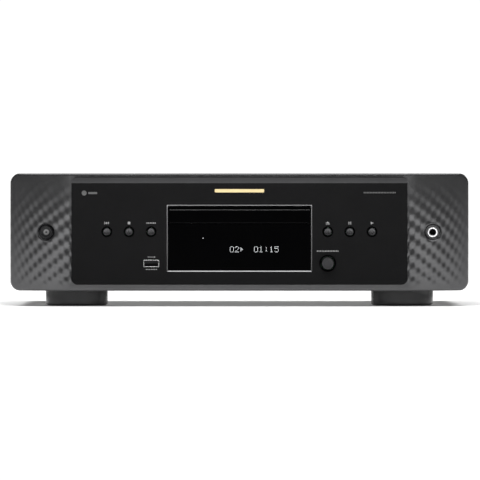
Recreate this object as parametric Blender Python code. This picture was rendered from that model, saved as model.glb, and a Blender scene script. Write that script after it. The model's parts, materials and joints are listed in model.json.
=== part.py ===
"""A full-width hi-fi CD player, as an assembly of separate pieces.

X runs to the viewer's right, Y runs from the front panel to the back, Z is up.
The origin is the middle of the footprint, on the surface that the feet stand on.
Sizes and places are in millimetres here, and make_object turns them into metres.
"""

import math

import bmesh
import bpy
from mathutils import Matrix, Vector

MM = 0.001
GAP = 0.3  # play left between pieces that rest on or sit in each other

# Whole player
WIDTH = 442
HEIGHT = 128
FRONT_FACE_Y = -200  # face of the centre plate
BACK_Y = 210  # tips of the rear sockets
FASCIA_BOTTOM = 15

# Fascia moulding, whose wings curve back to the sides
WALL = 3
FASCIA_FRONT_Y = FRONT_FACE_Y + 7
FASCIA_REAR_Y = -150
WING_START_X = 161.2
WING_RADIUS = 84
CORNER_RADIUS = 9
RIB_X = 197.5  # inner side of the upright rib inside each wing
RIB_THICKNESS = 2

# Centre plate, proud of the fascia
PLATE_BOTTOM = 20.9
PLATE_TOP = 124.8
PLATE_CORNER_RADIUS = 6
PLATE_TOP_ROLL = 6.3
PLATE_BOTTOM_ROLL = 5
WINDOW_HALF_WIDTH = 68.8
WINDOW_BOTTOM = 34.5
WINDOW_TOP = 96.8
WINDOW_CHAMFER = 1.5

# Controls and sockets on the front
BUTTON_X = (84.75, 105.95, 127.2)
BUTTON_Z = 71.9
BUTTON_RADIUS = 3.6
BUTTON_HOLE_RADIUS = 4.3
KNOB_X = 84.7
KNOB_Z = 41.6
KNOB_RADIUS = 6.1
KNOB_HOLE_RADIUS = 7.5
KNOB_FACE_Y = -BACK_Y
USB_X = -84.5
USB_Z = 41.5
USB_WIDTH = 14.8
USB_HEIGHT = 6.7
POWER_X = -185.7
PHONES_X = 185.8
END_CONTROL_Z = 71.5
RECESS_RADIUS = 7.9
RECESS_FLOOR_Y = -184.3
BOSS_BACK_Y = -181.3
POWER_CAP_RADIUS = 6.1

# Casing
PAN_HALF_WIDTH = 215
SHEET = 1.2
COVER_HALF_WIDTH = 217
COVER_TOP = 127
COVER_BEND = 1.5
CASE_FRONT_Y = FASCIA_REAR_Y + GAP
COVER_REAR_Y = 197
REAR_PANEL_Y = 193.8
REAR_SHEET = 2.4
SOCKET_Z = 60

# Feet
FOOT_RADIUS = 30
FOOT_HEIGHT = FASCIA_BOTTOM - GAP
FRONT_FOOT = (158, -120)
REAR_FOOT = (166, 130)

# Disc, tray and loader
DISC_Y = -122  # the disc's centre with the tray shut
TRAY_HALF_WIDTH = 65.5
TRAY_FRONT_Y = -192.3
TRAY_REAR_Y = -12
TRAY_DECK_BOTTOM = 83.4
TRAY_TOP = 92
TRAY_SLOT_HALF_WIDTH = 19
RACK_BOTTOM = 80.4
RACK_PITCH_X = -56
TRAY_GEAR_XY = (-46, -161)
PULLEY_XY = (-23.8, -164.9)
MOTOR_XY = (14, -165)
PULLEY_BELT_RADIUS = 12
MOTOR_BELT_RADIUS = 3
BELT_THICKNESS = 1.2
PLATFORM_TOP = 70
WALL_INNER_X = 67.2
WALL_OUTER_X = 71.2

# Optical deck
DECK_BOTTOM = 70
DECK_TOP = 72
DECK_PIVOT_Y = -22
DECK_PIVOT_Z = 66
ROD_X = 18
ROD_Z = 74.8
ROD_RADIUS = 1.5
PICKUP_Y = (-106, -78)
LENS_Y = DISC_Y + 23
SLED_GEAR_XY = (34, -72)

# Gear teeth
PRESSURE_ANGLE = math.radians(20)
ADDENDUM = 0.85
DEDENDUM = 1.25
BACKLASH = 0.3
TRAY_MODULE = 1.0
SLED_MODULE = 0.8

# Colour, roughness and metallic value of each finish
FINISHES = {
    "black_enamel": ((0.018, 0.018, 0.02), 0.45, 0.0),
    "matte_black": ((0.016, 0.016, 0.017), 0.6, 0.0),
    "gloss_black": ((0.004, 0.004, 0.005), 0.12, 0.0),
    "dark_silver": ((0.24, 0.24, 0.25), 0.35, 0.9),
    "bright_metal": ((0.72, 0.72, 0.73), 0.18, 1.0),
    "steel": ((0.5, 0.5, 0.51), 0.4, 1.0),
    "grey_plastic": ((0.12, 0.12, 0.13), 0.5, 0.0),
    "white_plastic": ((0.72, 0.72, 0.7), 0.45, 0.0),
    "dark_glass": ((0.006, 0.006, 0.007), 0.08, 0.0),
    "lens_glass": ((0.25, 0.3, 0.5), 0.05, 0.0),
    "circuit_board": ((0.03, 0.13, 0.05), 0.5, 0.0),
    "copper_winding": ((0.5, 0.2, 0.08), 0.4, 0.9),
    "rubber": ((0.02, 0.02, 0.02), 0.8, 0.0),
    "gold": ((0.75, 0.55, 0.2), 0.25, 1.0),
}


def along(axis, u, v, h):
    """The point at h along an axis and at u, v across it, in world order."""
    return {"X": (h, u, v), "Y": (u, h, v), "Z": (u, v, h)}[axis]


def make_object(name, points, faces):
    """An object from points in millimetres, with its faces turned outwards."""
    mesh = bpy.data.meshes.new(name)
    mesh.from_pydata([Vector(p) * MM for p in points], [], faces)
    shape = bmesh.new()
    shape.from_mesh(mesh)
    bmesh.ops.recalc_face_normals(shape, faces=shape.faces)
    shape.to_mesh(mesh)
    shape.free()
    result = bpy.data.objects.new(name, mesh)
    bpy.context.scene.collection.objects.link(result)
    return result


def prism(name, outline, span, axis):
    """An outline across an axis, pulled out from span[0] to span[1] along it."""
    count = len(outline)
    points = [along(axis, u, v, h) for h in span for u, v in outline]
    faces = [tuple(range(count)), tuple(range(count, 2 * count))]
    faces += [(i, (i + 1) % count, count + (i + 1) % count, count + i) for i in range(count)]
    return make_object(name, points, faces)


def block(name, x, y, z):
    """A box between the two values of each of x, y and z."""
    return prism(name, [(x[0], y[0]), (x[1], y[0]), (x[1], y[1]), (x[0], y[1])], z, "Z")


def turned(name, profile, centre, axis, segments=24):
    """A closed profile of (radius, height) points, turned round an axis at centre."""
    points, rings, faces = [], [], []
    for radius, height in profile:
        steps = segments if radius > 0 else 1
        angles = [2 * math.pi * i / segments for i in range(steps)]
        rings.append([len(points) + i for i in range(steps)])
        points += [
            along(axis, centre[0] + radius * math.cos(a), centre[1] + radius * math.sin(a), height)
            for a in angles
        ]
    for ring, other in zip(rings, rings[1:] + rings[:1]):
        if len(ring) == len(other) == 1:
            continue
        for i in range(segments):
            j = (i + 1) % segments
            corners = [ring[i % len(ring)], ring[j % len(ring)]]
            corners += [other[j % len(other)], other[i % len(other)]]
            faces.append(tuple(dict.fromkeys(corners)))
    return make_object(name, points, faces)


def rod(name, radius, span, centre, axis, segments=24):
    """A plain cylinder."""
    profile = [(0, span[0]), (radius, span[0]), (radius, span[1]), (0, span[1])]
    return turned(name, profile, centre, axis, segments)


def tube(name, inner, outer, span, centre, axis, segments=24):
    """A ring or sleeve."""
    profile = [(inner, span[0]), (outer, span[0]), (outer, span[1]), (inner, span[1])]
    return turned(name, profile, centre, axis, segments)


def arc(centre, radius, start, end, steps):
    """Points on an arc, from start to end in degrees. Radius may differ in u and v."""
    across, up = radius if isinstance(radius, tuple) else (radius, radius)
    angles = [math.radians(start + (end - start) * i / steps) for i in range(steps + 1)]
    return [(centre[0] + across * math.cos(a), centre[1] + up * math.sin(a)) for a in angles]


def rounded_rectangle(u, v, radius, steps=5):
    """The outline between the two values of u and of v, with round corners."""
    left, right, low, high = u[0] + radius, u[1] - radius, v[0] + radius, v[1] - radius
    outline = arc((right, high), radius, 0, 90, steps) + arc((left, high), radius, 90, 180, steps)
    outline += arc((left, low), radius, 180, 270, steps) + arc((right, low), radius, 270, 360, steps)
    return outline


def combine(target, tools, operation):
    """Works the tools into the target with Booleans, and removes them."""
    for tool in tools:
        modifier = target.modifiers.new(tool.name, "BOOLEAN")
        modifier.operation = operation
        modifier.solver = "EXACT"
        modifier.object = tool
    evaluated = target.evaluated_get(bpy.context.evaluated_depsgraph_get())
    mesh = bpy.data.meshes.new_from_object(evaluated)
    target.modifiers.clear()
    target.data = mesh
    for tool in tools:
        bpy.data.objects.remove(tool)
    return target


def cut(target, *tools):
    return combine(target, tools, "DIFFERENCE")


def weld(target, *tools):
    return combine(target, tools, "UNION")


def trim(target, tool):
    """Keeps the part of the target that lies inside the tool."""
    return combine(target, [tool], "INTERSECT")


def dress(piece, finish):
    """Gives a piece its own material, and smooth shading with crisp edges."""
    colour, roughness, metallic = FINISHES[finish]
    material = bpy.data.materials.new(piece.name)
    material.use_nodes = True
    surface = material.node_tree.nodes["Principled BSDF"]
    surface.inputs["Base Color"].default_value = (*colour, 1)
    surface.inputs["Roughness"].default_value = roughness
    surface.inputs["Metallic"].default_value = metallic
    piece.data.materials.clear()
    piece.data.materials.append(material)
    piece.data.shade_smooth()
    piece.data.set_sharp_from_angle(angle=math.radians(32))
    return piece


def set_origin(piece, place):
    """Puts a moving piece's origin on its joint's axis."""
    place = Vector(place) * MM
    piece.data.transform(Matrix.Translation(-place))
    piece.location = place


def carry(name, place, pieces, parent=None):
    """An empty on a joint's axis that moves the pieces together."""
    carrier = bpy.data.objects.new(name, None)
    bpy.context.scene.collection.objects.link(carrier)
    carrier.location = Vector(place) * MM
    bpy.context.view_layer.update()
    for piece in pieces:
        piece.parent = carrier
        piece.matrix_parent_inverse = carrier.matrix_world.inverted()
    if parent:
        carrier.parent = parent
        carrier.matrix_parent_inverse = parent.matrix_world.inverted()
    return carrier


def gear_outline(teeth, module, centre, tooth_at):
    """A spur gear's outline, with one tooth pointing at the angle tooth_at in degrees."""
    pitch = teeth * module / 2
    base = pitch * math.cos(PRESSURE_ANGLE)
    half_at_pitch = (math.pi * module / 2 - BACKLASH) / (2 * pitch)

    def involute(radius):
        angle = math.acos(min(1, base / radius))
        return math.tan(angle) - angle

    radii = (pitch - DEDENDUM * module, pitch + ADDENDUM * module)
    flank = [(r, half_at_pitch + involute(pitch) - involute(r)) for r in radii]
    outline = []
    for tooth in range(teeth):
        middle = math.radians(tooth_at) + 2 * math.pi * tooth / teeth
        corners = [(r, middle - half) for r, half in flank]
        corners += [(r, middle + half) for r, half in reversed(flank)]
        outline += [(centre[0] + r * math.cos(a), centre[1] + r * math.sin(a)) for r, a in corners]
    return outline


def rack_outline(module, pitch_x, back_x, gap_y, first, last):
    """A rack whose teeth face +X, with a gap at gap_y and its teeth numbered from there."""
    step = math.pi * module
    half = (step / 2 - BACKLASH) / 2
    root_x, tip_x = pitch_x - DEDENDUM * module, pitch_x + ADDENDUM * module
    outline = []
    for tooth in range(first, last + 1):
        middle = gap_y + (tooth + 0.5) * step
        for x, side in ((root_x, -1), (tip_x, -1), (tip_x, 1), (root_x, 1)):
            spread = half - math.tan(PRESSURE_ANGLE) * (x - pitch_x)
            outline.append((x, middle + side * spread))
    outline += [(back_x, outline[-1][1]), (back_x, outline[0][1])]
    return outline


def wing_outline(inset, rear_y):
    """The fascia seen from above: flat in the middle, with wings that curve back."""
    radius = WING_RADIUS - inset
    half_width = WIDTH / 2 - inset
    centre_y = FASCIA_FRONT_Y + WING_RADIUS
    sweep = math.degrees(math.asin((half_width - WING_START_X) / radius))
    right = arc((WING_START_X, centre_y), radius, -90, sweep - 90, 9)
    left = [(-x, y) for x, y in reversed(right)]
    return left + right + [(half_width, rear_y), (-half_width, rear_y)]


def make_fascia():
    """The moulded front frame behind the centre plate."""
    z = (FASCIA_BOTTOM, HEIGHT)
    half = WIDTH / 2
    fascia = prism("fascia", wing_outline(0, FASCIA_REAR_Y), z, "Z")
    corners = rounded_rectangle((-half, half), z, CORNER_RADIUS)
    trim(fascia, prism("corners", corners, (-220, -140), "Y"))
    hollow_z = (z[0] + WALL, z[1] - WALL)
    hollow = prism("hollow", wing_outline(WALL, FASCIA_REAR_Y + 1), hollow_z, "Z")
    corners = rounded_rectangle((WALL - half, half - WALL), hollow_z, CORNER_RADIUS - WALL)
    trim(hollow, prism("corners", corners, (-220, -140), "Y"))
    cut(fascia, hollow)
    rib_z = (z[0] + 1, z[1] - 1)
    for side in (-1, 1):
        rib_x = sorted((side * RIB_X, side * (RIB_X + RIB_THICKNESS)))
        weld(fascia, block("rib", rib_x, (-182.5, FASCIA_REAR_Y - 2), rib_z))
    boss_y = (-187, BOSS_BACK_Y)
    for x in (POWER_X, PHONES_X):
        weld(fascia, rod("boss", RECESS_RADIUS + 2.6, boss_y, (x, END_CONTROL_Z), "Y"))
    through = (-215, -170)
    tools = [block("window", (-70, 70), through, (33, 98))]
    for x in (POWER_X, PHONES_X):
        recess_y = (-215, RECESS_FLOOR_Y)
        tools.append(rod("recess", RECESS_RADIUS, recess_y, (x, END_CONTROL_Z), "Y"))
    tools.append(rod("hole", 6.4, through, (POWER_X, END_CONTROL_Z), "Y"))
    tools.append(rod("hole", 4.4, through, (PHONES_X, END_CONTROL_Z), "Y"))
    for x in BUTTON_X:
        tools.append(rod("hole", 4.8, through, (x, BUTTON_Z), "Y", 16))
        tools.append(rod("hole", 4.8, through, (-x, BUTTON_Z), "Y", 16))
    tools.append(rod("hole", KNOB_HOLE_RADIUS, through, (KNOB_X, KNOB_Z), "Y"))
    tools.append(usb_block("hole", 0.8, through))
    return dress(cut(fascia, *tools), "black_enamel")


def usb_block(name, margin, y):
    """A box round the USB socket's outline, larger by margin."""
    half_width, half_height = USB_WIDTH / 2 + margin, USB_HEIGHT / 2 + margin
    x = (USB_X - half_width, USB_X + half_width)
    return block(name, x, y, (USB_Z - half_height, USB_Z + half_height))


def make_centre_plate():
    """The proud middle panel, rolled back at its top and bottom edges."""
    back_y = FASCIA_FRONT_Y - GAP
    depth = back_y - FRONT_FACE_Y
    top_roll = arc((back_y, PLATE_TOP - PLATE_TOP_ROLL), (depth, PLATE_TOP_ROLL), 180, 90, 6)
    low = arc((back_y, PLATE_BOTTOM + PLATE_BOTTOM_ROLL), (depth, PLATE_BOTTOM_ROLL), 270, 180, 6)
    half = WING_START_X
    plate = prism("centre_plate", low + top_roll, (-half, half), "X")
    corners = rounded_rectangle((-half, half), (PLATE_BOTTOM, PLATE_TOP), PLATE_CORNER_RADIUS)
    trim(plate, prism("corners", corners, (-205, -185), "Y"))
    y = (-205, -185)
    x, z = WINDOW_HALF_WIDTH, (WINDOW_BOTTOM, WINDOW_TOP)
    tools = [block("window", (-x, x), y, z), window_chamfer(x, z)]
    for button_x in BUTTON_X:
        tools.append(rod("hole", BUTTON_HOLE_RADIUS, y, (button_x, BUTTON_Z), "Y", 16))
        tools.append(rod("hole", BUTTON_HOLE_RADIUS, y, (-button_x, BUTTON_Z), "Y", 16))
    tools.append(rod("hole", KNOB_HOLE_RADIUS, y, (KNOB_X, KNOB_Z), "Y"))
    tools.append(usb_block("hole", 0.4, y))
    return dress(cut(plate, *tools), "matte_black")


def window_chamfer(half_width, z):
    """A cutter for the sloped edge round the window."""
    points = []
    for y in (FRONT_FACE_Y - 1, FRONT_FACE_Y + WINDOW_CHAMFER + 1):
        spread = FRONT_FACE_Y + WINDOW_CHAMFER - y
        x, low, high = half_width + spread, z[0] - spread, z[1] + spread
        points += [(-x, y, low), (x, y, low), (x, y, high), (-x, y, high)]
    sides = [(i, (i + 1) % 4, 4 + (i + 1) % 4, 4 + i) for i in range(4)]
    return make_object("chamfer", points, [(0, 1, 2, 3), (4, 5, 6, 7), *sides])


def make_window_pieces():
    """What shows through the window: the dark glass, its display, and the frame round the tray."""
    surround = block("tray_surround", (-74, 74), (-189.5, -187.5), (31, 101))
    weld(surround, block("tunnel", (-68, 68), (-196.3, -188.5), (35.4, 78.6)))
    weld(surround, block("lip", (-68.4, 68.4), (-197.3, -188.5), (94.4, 96.4)))
    cut(
        surround,
        block("tray_way", (-68.6, 68.6), (-200, -180), (79.2, 94)),
        block("display_way", (-51, 51), (-200, -180), (39, 71)),
    )
    dress(surround, "matte_black")
    dress(block("display_window", (-68.4, 68.4), (-198.6, -196.6), (35, 79.2)), "dark_glass")
    dress(block("display_module", (-50, 50), (-196.2, -185.8), (40, 70)), "grey_plastic")
    board = block("front_board", (-150, 150), (-184, -182.4), (28, 112))
    knob_way = rod("shaft_way", 3.7, (-190, -170), (KNOB_X, KNOB_Z), "Y")
    cut(board, block("tray_way", (-71, 71), (-190, -170), (77, 97)), knob_way)
    dress(board, "circuit_board")


def make_button(name, x):
    """A round push button with a flange that keeps it in the panel."""
    radius = BUTTON_RADIUS
    flange_y = FASCIA_FRONT_Y + WALL + 0.4
    profile = [(0, -201.3), (3.2, -201.6), (radius, -201.1), (radius, flange_y)]
    profile += [(5.6, flange_y), (5.6, flange_y + 1.2), (1.6, flange_y + 1.2)]
    profile += [(1.6, -185.6), (0, -185.6)]
    button = turned(name, profile, (x, BUTTON_Z), "Y", 16)
    set_origin(button, (x, flange_y, BUTTON_Z))
    return dress(button, "dark_silver")


def make_controls():
    """The buttons, the headphone level knob and what they work on."""
    names = ("previous_button", "stop_button", "input_button")
    for name, x in zip(names, reversed(BUTTON_X)):
        make_button(name, -x)
    for name, x in zip(("eject_button", "pause_button", "play_button"), BUTTON_X):
        make_button(name, x)

    place = (KNOB_X, KNOB_Z)
    profile = [(0, KNOB_FACE_Y), (5.6, KNOB_FACE_Y), (KNOB_RADIUS, KNOB_FACE_Y + 0.5)]
    profile += [(KNOB_RADIUS, -196), (3, -196), (3, -182), (0, -182)]
    knob = turned("phones_level_knob", profile, place, "Y")
    set_origin(knob, (KNOB_X, -196, KNOB_Z))
    dress(knob, "dark_silver")
    control = block("level_control", (KNOB_X - 7, KNOB_X + 7), (-181.6, -173), (34, 49))
    dress(control, "steel")

    place = (POWER_X, END_CONTROL_Z)
    profile = [(0, -189.6), (5.4, -190), (POWER_CAP_RADIUS, -189.3), (POWER_CAP_RADIUS, -180.7)]
    profile += [(7.6, -180.7), (7.6, -179.5), (2, -179.5), (2, -176.5), (0, -176.5)]
    power = turned("power_button", profile, place, "Y")
    set_origin(power, (POWER_X, -180, END_CONTROL_Z))
    dress(power, "dark_silver")
    ring_y = (-187.5, RECESS_FLOOR_Y - GAP)
    ring_outer = RECESS_RADIUS - 0.25
    ring = tube("power_button_ring", 6.5, ring_outer, ring_y, place, "Y")
    dress(ring, "gloss_black")
    switch = block("power_switch", (POWER_X - 7, POWER_X + 7), (-172.8, -152), (64, 79))
    dress(switch, "grey_plastic")

    place = (PHONES_X, END_CONTROL_Z)
    ring = tube("phones_socket_ring", 6.5, ring_outer, ring_y, place, "Y")
    dress(ring, "gloss_black")
    nut = tube("headphone_jack_nut", 3.3, 4.9, ring_y, place, "Y")
    dress(nut, "bright_metal")
    jack_y = (BOSS_BACK_Y + GAP, -153)
    x = (PHONES_X - 8, PHONES_X + 8)
    jack = block("headphone_jack", x, jack_y, (END_CONTROL_Z - 7, END_CONTROL_Z + 7))
    weld(jack, rod("bush", 4.1, (RECESS_FLOOR_Y, jack_y[0] + 2), place, "Y"))
    cut(jack, rod("bore", 3.3, (RECESS_FLOOR_Y - 2, -155), place, "Y"))
    dress(jack, "grey_plastic")

    shell = usb_block("usb_shell", 0, (-200.3, -184.4))
    cut(shell, usb_block("mouth", -0.5, (-205, -185)))
    dress(shell, "bright_metal")
    tongue_x = (USB_X - 5.6, USB_X + 5.6)
    tongue = block("usb_tongue", tongue_x, (-198.4, -185.3), (USB_Z + 0.4, USB_Z + 2.3))
    dress(tongue, "white_plastic")


def make_foot(name, x, y):
    """A wide moulded foot with a rounded lower edge."""
    outer = arc((FOOT_RADIUS - 3, 3), 3, -90, 0, 3)
    profile = [(0, 0), *outer, (FOOT_RADIUS, FOOT_HEIGHT - 1)]
    profile += [(FOOT_RADIUS - 1, FOOT_HEIGHT), (0, FOOT_HEIGHT)]
    dress(turned(name, profile, (x, y), "Z", 24), "gloss_black")


def make_case():
    """The pan, the cover that slides over it, the rear panel and the feet."""
    half, rear_y = PAN_HALF_WIDTH, REAR_PANEL_Y - GAP
    y = (CASE_FRONT_Y, rear_y)
    bottom = FASCIA_BOTTOM
    pan = block("base_chassis", (-half, half), y, (bottom, bottom + SHEET))
    for side in (-1, 1):
        x = sorted((side * half, side * (half - SHEET)))
        weld(pan, block("side", x, y, (bottom, 40)))
    dress(pan, "steel")

    outer = u_outline(COVER_HALF_WIDTH, COVER_TOP, COVER_BEND)
    inner = u_outline(COVER_HALF_WIDTH - 1, COVER_TOP - 1, COVER_BEND - 1)
    cover = prism("top_cover", outer + inner[::-1], (CASE_FRONT_Y, COVER_REAR_Y), "Y")
    vents = [
        block("vent", (side * x - 1.5, side * x + 1.5), (50, 120), (120, 130))
        for side in (-1, 1)
        for x in range(96, 192, 8)
    ]
    dress(cut(cover, *vents), "black_enamel")

    for side, name in ((-1, "left"), (1, "right")):
        make_foot("front_%s_foot" % name, side * FRONT_FOOT[0], FRONT_FOOT[1])
        make_foot("rear_%s_foot" % name, side * REAR_FOOT[0], REAR_FOOT[1])


def u_outline(half_width, top, radius):
    """One face of the cover's bent sheet, from the left lower edge to the right one."""
    bottom = FASCIA_BOTTOM + 2
    centre = (half_width - radius, top - radius)
    right = arc(centre, radius, 90, 0, 4) + [(half_width, bottom)]
    return [(-x, z) for x, z in reversed(right)] + right


def make_rear():
    """The rear panel with its mains inlet and signal sockets."""
    y = (REAR_PANEL_Y, REAR_PANEL_Y + REAR_SHEET)
    panel = block("rear_panel", (-214.7, 214.7), y, (16.8, 125.6))
    through = (190, 200)
    inlet_x = -176
    tools = [block("inlet_way", (inlet_x - 16, inlet_x + 16), through, (47.5, 72.5))]
    tools.append(block("optical_way", (81.5, 92.5), through, (54.5, 65.5)))
    sockets = (("coax_jack", 116), ("analog_jack_right", 146), ("analog_jack_left", 176))
    for name, x in sockets:
        tools.append(rod("socket_way", 5, through, (x, SOCKET_Z), "Y", 16))
        profile = [(1.7, BACK_Y), (4.1, BACK_Y), (4.1, 199), (7, 199), (7, y[1] + GAP)]
        profile += [(4.6, y[1] + GAP), (4.6, 180), (0, 180), (0, 200), (1.7, 200)]
        dress(turned(name, profile, (x, SOCKET_Z), "Y", 16), "gold")
    dress(cut(panel, *tools), "black_enamel")

    inlet = block("mains_inlet", (inlet_x - 25, inlet_x + 25), (y[1] + GAP, 199), (46.5, 73.5))
    weld(inlet, block("body", (inlet_x - 13.6, inlet_x + 13.6), (178, 198), (50, 70)))
    cut(inlet, block("mouth", (inlet_x - 12, inlet_x + 12), (182, 205), (52, 68)))
    for dx, dz in ((0, 2), (-7, -2), (7, -2)):
        x = (inlet_x + dx - 1, inlet_x + dx + 1)
        z = (SOCKET_Z + dz - 2, SOCKET_Z + dz + 2)
        weld(inlet, block("blade", x, (181, 196), z))
    dress(inlet, "matte_black")

    optical = block("digital_output", (82, 92), (182, 199.5), (55, 65))
    cut(optical, block("mouth", (84.2, 89.8), (192, 205), (57.4, 62.6)))
    dress(optical, "grey_plastic")


def make_tray():
    """The disc tray with its rack, and the flap on its front."""
    x = TRAY_HALF_WIDTH
    tray = block("disc_tray", (-x, x), (TRAY_FRONT_Y, TRAY_REAR_Y), (TRAY_DECK_BOTTOM, TRAY_TOP))
    rack = rack_outline(TRAY_MODULE, RACK_PITCH_X, -60.5, TRAY_GEAR_XY[1], -4, 45)
    weld(tray, prism("rack", rack, (RACK_BOTTOM, TRAY_DECK_BOTTOM + 1), "Z"))
    slot = TRAY_SLOT_HALF_WIDTH
    cut(
        tray,
        rod("disc_well", 60.5, (87, 100), (0, DISC_Y), "Z", 56),
        rod("small_disc_well", 40.5, (85.6, 100), (0, DISC_Y), "Z", 36),
        block("slot", (-slot, slot), (DISC_Y - 20, 0), (80, 100)),
    )
    dress(tray, "matte_black")
    front = block("tray_front", (-67.9, 67.9), (-198.6, TRAY_FRONT_Y - GAP), (79.8, 93.4))
    dress(front, "gloss_black")
    carry("tray_slide", (0, DISC_Y, TRAY_DECK_BOTTOM), [tray, front])


def make_loader():
    """The frame that the tray runs in, with the gear train that drives it."""
    platform = (PLATFORM_TOP - 2, PLATFORM_TOP)
    frame = block("loader_frame", (-71, 71), (-178, -150), platform)
    weld(frame, block("rear_wall", (-68, 68), (-10, -7), (60, 79)))
    for side in (-1, 1):
        wall_x = sorted((side * WALL_INNER_X, side * WALL_OUTER_X))
        weld(frame, block("wall", wall_x, (-178, -8), (60, 94)))
        ledge_x = sorted((side * 61.8, side * (WALL_INNER_X + 1)))
        weld(frame, block("ledge", ledge_x, (-177, -9), (80.6, TRAY_DECK_BOTTOM - 0.4)))
        for y in ((-148, -138), (-18.5, -8.5)):
            post_x = sorted((side * 63, side * (WALL_OUTER_X - 0.5)))
            weld(frame, block("post", post_x, y, (FASCIA_BOTTOM + SHEET + GAP, 62)))
    weld(
        frame,
        rod("tray_gear_pin", 1.5, (PLATFORM_TOP - 1, 82.6), TRAY_GEAR_XY, "Z", 16),
        rod("pulley_pin", 1.5, (PLATFORM_TOP - 1, 78.5), PULLEY_XY, "Z", 16),
    )
    pivot = (DECK_PIVOT_Y, DECK_PIVOT_Z)
    motor_way = rod("motor_way", 2.5, (60, 80), MOTOR_XY, "Z", 16)
    cut(frame, motor_way, rod("pivot_way", 2.5, (-80, 80), pivot, "X", 20))
    dress(frame, "matte_black")

    bridge = block("clamp_bridge", (-71, 71), (DISC_Y - 20, DISC_Y + 20), (97, 99))
    for side in (-1, 1):
        leg_x = sorted((side * 67.6, side * 70.8))
        weld(bridge, block("leg", leg_x, (DISC_Y - 19, DISC_Y + 19), (94.3, 98)))
    cut(bridge, rod("clamper_way", 12, (90, 110), (0, DISC_Y), "Z"))
    dress(bridge, "steel")
    profile = [(0, 90.3), (16, 90.3), (16, 94.8), (10, 94.8), (10, 100.5), (15, 100.5)]
    profile += [(15, 102.5), (0, 102.5)]
    clamper = turned("clamper", profile, (0, DISC_Y), "Z")
    set_origin(clamper, (0, DISC_Y, 96))
    dress(clamper, "grey_plastic")
    make_loading_gears()


def make_loading_gears():
    """Motor, belt, pulley and the stepped gear that moves the tray's rack."""
    stepped = prism("tray_gear", gear_outline(20, TRAY_MODULE, TRAY_GEAR_XY, 180), (80.2, 83), "Z")
    dx, dy = PULLEY_XY[0] - TRAY_GEAR_XY[0], PULLEY_XY[1] - TRAY_GEAR_XY[1]
    mesh_angle = math.degrees(math.atan2(dy, dx))
    wheel = gear_outline(30, TRAY_MODULE, TRAY_GEAR_XY, mesh_angle)
    hub = rod("hub", 6, (77, 80.8), TRAY_GEAR_XY, "Z")
    weld(stepped, hub, prism("wheel", wheel, (74.5, 77.5), "Z"))
    weld(stepped, rod("lower_hub", 4, (PLATFORM_TOP + GAP, 75), TRAY_GEAR_XY, "Z"))
    cut(stepped, rod("bore", 1.9, (60, 90), TRAY_GEAR_XY, "Z", 16))
    set_origin(stepped, (*TRAY_GEAR_XY, 76))
    dress(stepped, "white_plastic")

    pulley = grooved_pulley("pulley_gear", PULLEY_BELT_RADIUS, PULLEY_XY, 5, 74.8, 32)
    pinion_teeth = 15
    gap_angle = mesh_angle + 180 + 180 / pinion_teeth
    pinion = gear_outline(pinion_teeth, TRAY_MODULE, PULLEY_XY, gap_angle)
    weld(pulley, prism("pinion", pinion, (74.2, 77.8), "Z"))
    cut(pulley, rod("bore", 1.9, (60, 90), PULLEY_XY, "Z", 16))
    set_origin(pulley, (*PULLEY_XY, 74))
    dress(pulley, "white_plastic")

    shaft_bottom = PLATFORM_TOP - 2.6
    driver = grooved_pulley("motor_pulley", MOTOR_BELT_RADIUS, MOTOR_XY, 1.2, 74.6, 16)
    weld(driver, rod("shaft", 1.1, (shaft_bottom, 72), MOTOR_XY, "Z", 12))
    set_origin(driver, (*MOTOR_XY, 72))
    dress(driver, "white_plastic")
    motor = rod("loading_motor", 11, (48, shaft_bottom - GAP), MOTOR_XY, "Z", 24)
    dress(motor, "steel")

    outer = belt_outline(BELT_THICKNESS / 2)
    belt = prism("drive_belt", outer, (71.8, 73), "Z")
    cut(belt, prism("inside", belt_outline(-BELT_THICKNESS / 2), (70, 75), "Z"))
    dress(belt, "rubber")


def grooved_pulley(name, belt_radius, centre, hub_radius, hub_top, segments):
    """A belt pulley whose groove clears the belt, with a hub on top."""
    low, high = PLATFORM_TOP + 0.6, PLATFORM_TOP + 4.2
    floor = belt_radius - BELT_THICKNESS / 2 - GAP
    rim = belt_radius + 0.9
    profile = [(0, low), (rim, low), (rim, low + 0.6), (floor, low + 0.9), (floor, high - 0.9)]
    profile += [(rim, high - 0.6), (rim, high), (hub_radius, high), (hub_radius, hub_top)]
    profile += [(0, hub_top)]
    return turned(name, profile, centre, "Z", segments)


def belt_outline(offset):
    """The belt's path round both pulleys, moved outwards by offset."""
    dx, dy = MOTOR_XY[0] - PULLEY_XY[0], MOTOR_XY[1] - PULLEY_XY[1]
    direction = math.degrees(math.atan2(dy, dx))
    lean = math.acos((PULLEY_BELT_RADIUS - MOTOR_BELT_RADIUS) / math.hypot(dx, dy))
    lean = math.degrees(lean)
    large, small = PULLEY_BELT_RADIUS + offset, MOTOR_BELT_RADIUS + offset
    around_pulley = arc(PULLEY_XY, large, direction + lean, direction + 360 - lean, 20)
    around_motor = arc(MOTOR_XY, small, direction - lean, direction + lean, 8)
    return around_pulley + around_motor


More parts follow.
